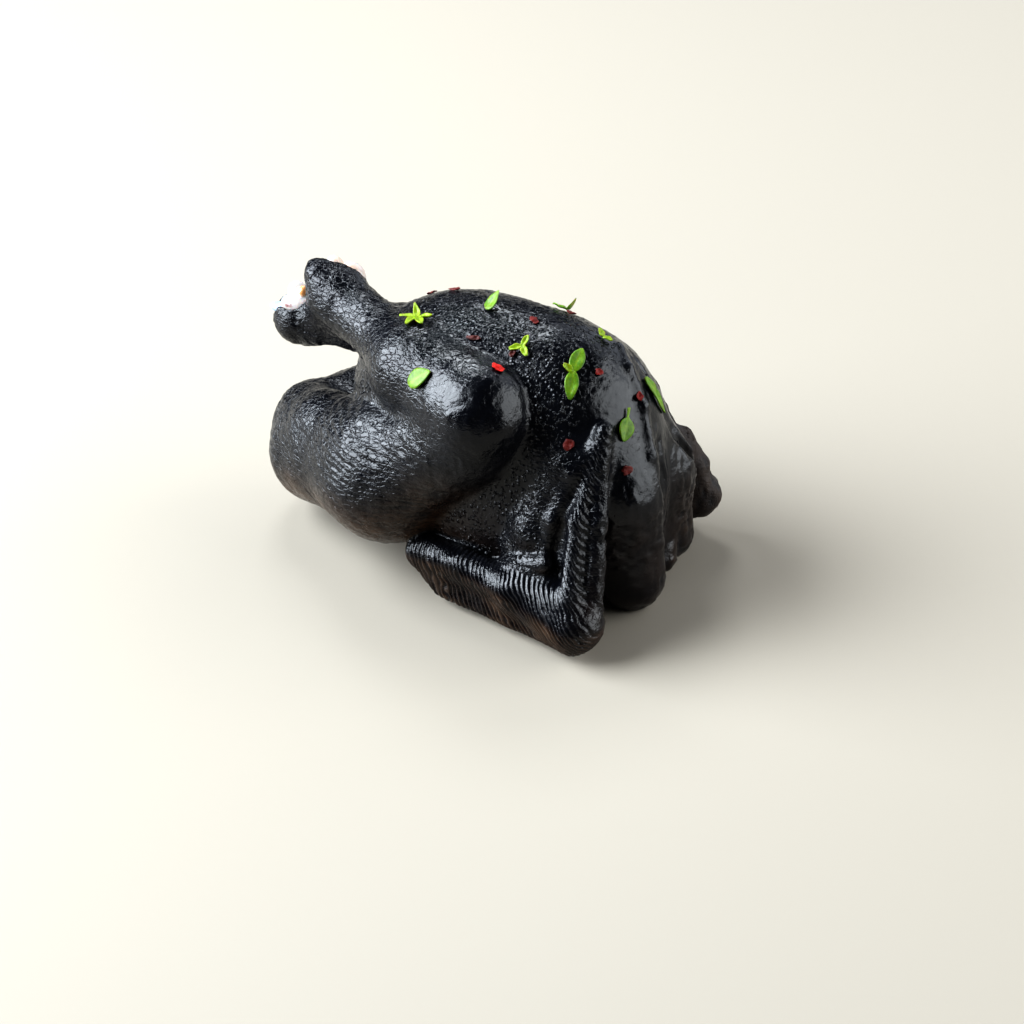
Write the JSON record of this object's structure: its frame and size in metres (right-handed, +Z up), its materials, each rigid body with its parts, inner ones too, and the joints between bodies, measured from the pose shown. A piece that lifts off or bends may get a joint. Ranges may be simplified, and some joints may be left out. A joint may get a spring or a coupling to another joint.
{
  "type": "whole raw black chicken",
  "caption": "Whole raw black-skinned chicken on its back, with raised drumsticks, folded wings, pleated neck skin, white joint ends, herb leaves and chilli flakes.",
  "frame": {"origin": "under the middle of the whole bird, on the surface it lies on", "axes": "+Z up, +X to the neck end, -X to the leg ends, -Y to the bird's left side"},
  "size_m": [0.1952, 0.1254, 0.1245],
  "materials": {
    "skin": "wet gloss",
    "cartilage": "wet gloss",
    "leaf": "satin"
  },
  "bodies": {
    "root": {"chicken": "skin", "joint_near": "cartilage", "joint_far": "cartilage", "leaf_breast_top": "leaf", "sprig_drumstick": "leaf", "leaf_drumstick": "leaf", "sprig_breast_side": "leaf", "leaf_pair_breast": "leaf", "sprig_breast_front": "leaf", "sprig_crop": "leaf", "leaf_crop": "leaf", "leaf_neck": "leaf"}
  },
  "joints": []
}
